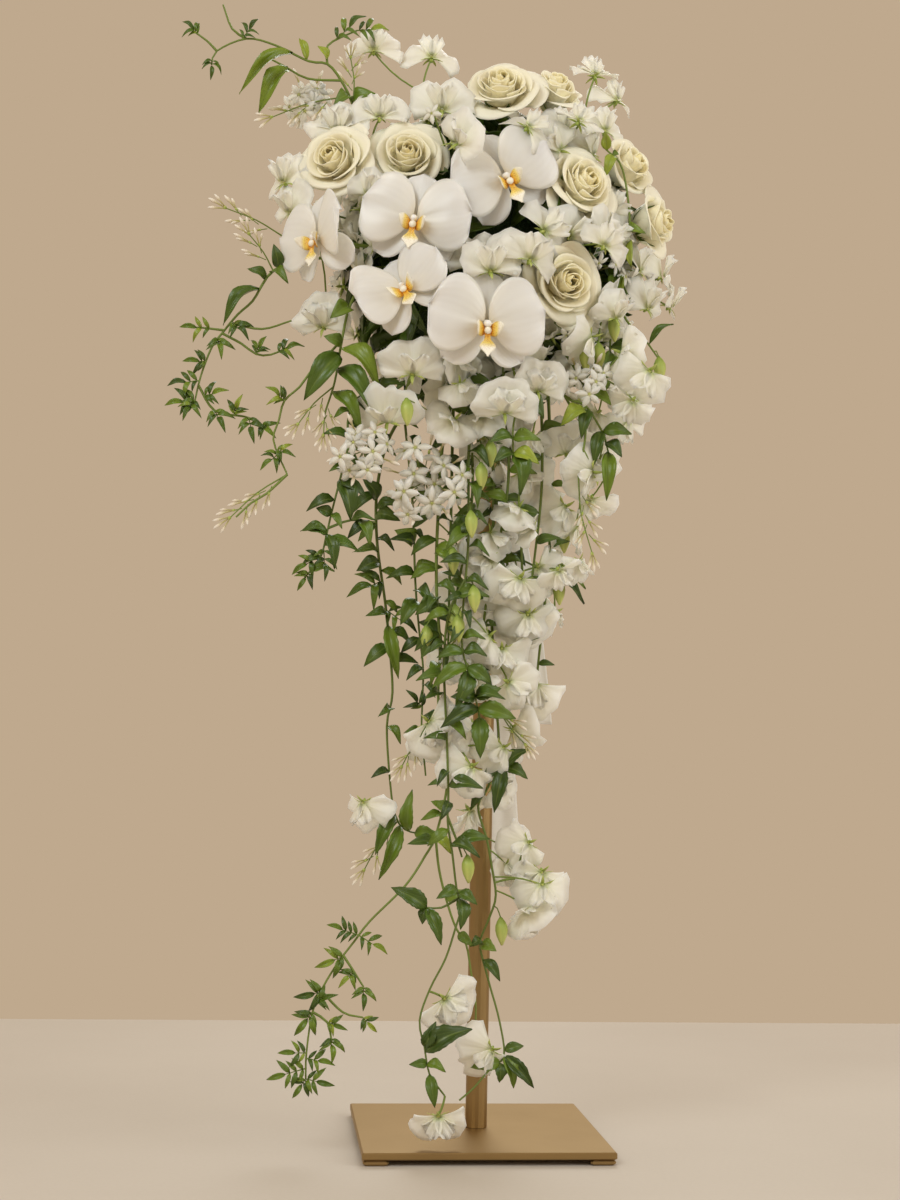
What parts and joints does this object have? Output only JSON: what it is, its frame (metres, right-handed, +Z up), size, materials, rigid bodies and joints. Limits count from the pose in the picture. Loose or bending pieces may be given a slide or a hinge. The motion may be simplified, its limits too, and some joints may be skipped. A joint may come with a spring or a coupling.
{
  "type": "bridal bouquet",
  "caption": "Cascading bridal bouquet of white orchids, cream roses, sweet peas and jasmine with trailing leafy vines, standing in foam on a square brass display stand.",
  "frame": {"origin": "middle of the object's box at its base, on the surface that the stand's feet rest on", "axes": "+Z up along the stand's pole, -Y to the front, where the blooms face, +X to the right of one who looks at the front"},
  "size_m": [0.5497, 0.3362, 1.1715],
  "materials": {
    "satin_brass": "satin",
    "orchid_petal": "soft, slightly waxy petal",
    "orchid_lip": "waxy yellow with darker flecks",
    "rose_petal": "velvety petal",
    "sweet_pea_petal": "thin ruffled petal",
    "jasmine_petal": "matt petal",
    "vine_leaf": "glossy dark leaf on a thin brown-green stem",
    "broad_leaf": "satin dark leaf",
    "floral_foam": "matt crumbly foam",
    "ribbon_silk": "thin silk"
  },
  "bodies": {
    "root": {"foam_core": "floral_foam", "foliage_back_left": "broad_leaf", "foliage_back_right": "broad_leaf", "jasmine_front": "jasmine_petal", "jasmine_left": "jasmine_petal", "jasmine_right": "jasmine_petal", "jasmine_top_left": "jasmine_petal", "orchid_1": "orchid_petal", "orchid_2": "orchid_petal", "orchid_3": "orchid_petal", "orchid_4": "orchid_petal", "orchid_5": "orchid_petal", "orchid_lip_1": "orchid_lip", "orchid_lip_2": "orchid_lip", "orchid_lip_3": "orchid_lip", "orchid_lip_4": "orchid_lip", "orchid_lip_5": "orchid_lip", "ribbon": "ribbon_silk", "rose_1": "rose_petal", "rose_2": "rose_petal", "rose_3": "rose_petal", "rose_4": "rose_petal", "rose_5": "rose_petal", "rose_6": "rose_petal", "rose_7": "rose_petal", "rose_8": "rose_petal", "stand_foot_1": "satin_brass", "stand_foot_2": "satin_brass", "stand_foot_3": "satin_brass", "stand_foot_4": "satin_brass", "stand_plate": "satin_brass", "stand_pole": "satin_brass", "strand_diagonal": "vine_leaf", "strand_front": "vine_leaf", "strand_left": "vine_leaf", "strand_right": "vine_leaf", "sweet_pea_back": "sweet_pea_petal", "sweet_pea_cascade_1": "sweet_pea_petal", "sweet_pea_cascade_2": "sweet_pea_petal", "sweet_pea_cascade_3": "sweet_pea_petal", "sweet_pea_cascade_4": "sweet_pea_petal", "sweet_pea_cascade_5": "sweet_pea_petal", "sweet_pea_centre": "sweet_pea_petal", "sweet_pea_front": "sweet_pea_petal", "sweet_pea_front_left": "sweet_pea_petal", "sweet_pea_left": "sweet_pea_petal", "sweet_pea_low": "sweet_pea_petal", "sweet_pea_low_left": "sweet_pea_petal", "sweet_pea_lowest": "sweet_pea_petal", "sweet_pea_mid": "sweet_pea_petal", "sweet_pea_right": "sweet_pea_petal", "sweet_pea_right_low": "sweet_pea_petal", "sweet_pea_top": "sweet_pea_petal", "sweet_pea_top_left": "sweet_pea_petal", "sweet_pea_top_right": "sweet_pea_petal", "vine_left_mid": "vine_leaf", "vine_left_upper": "vine_leaf", "vine_right_low": "vine_leaf", "vine_right_upper": "vine_leaf", "vine_top_left": "vine_leaf"}
  },
  "joints": []
}
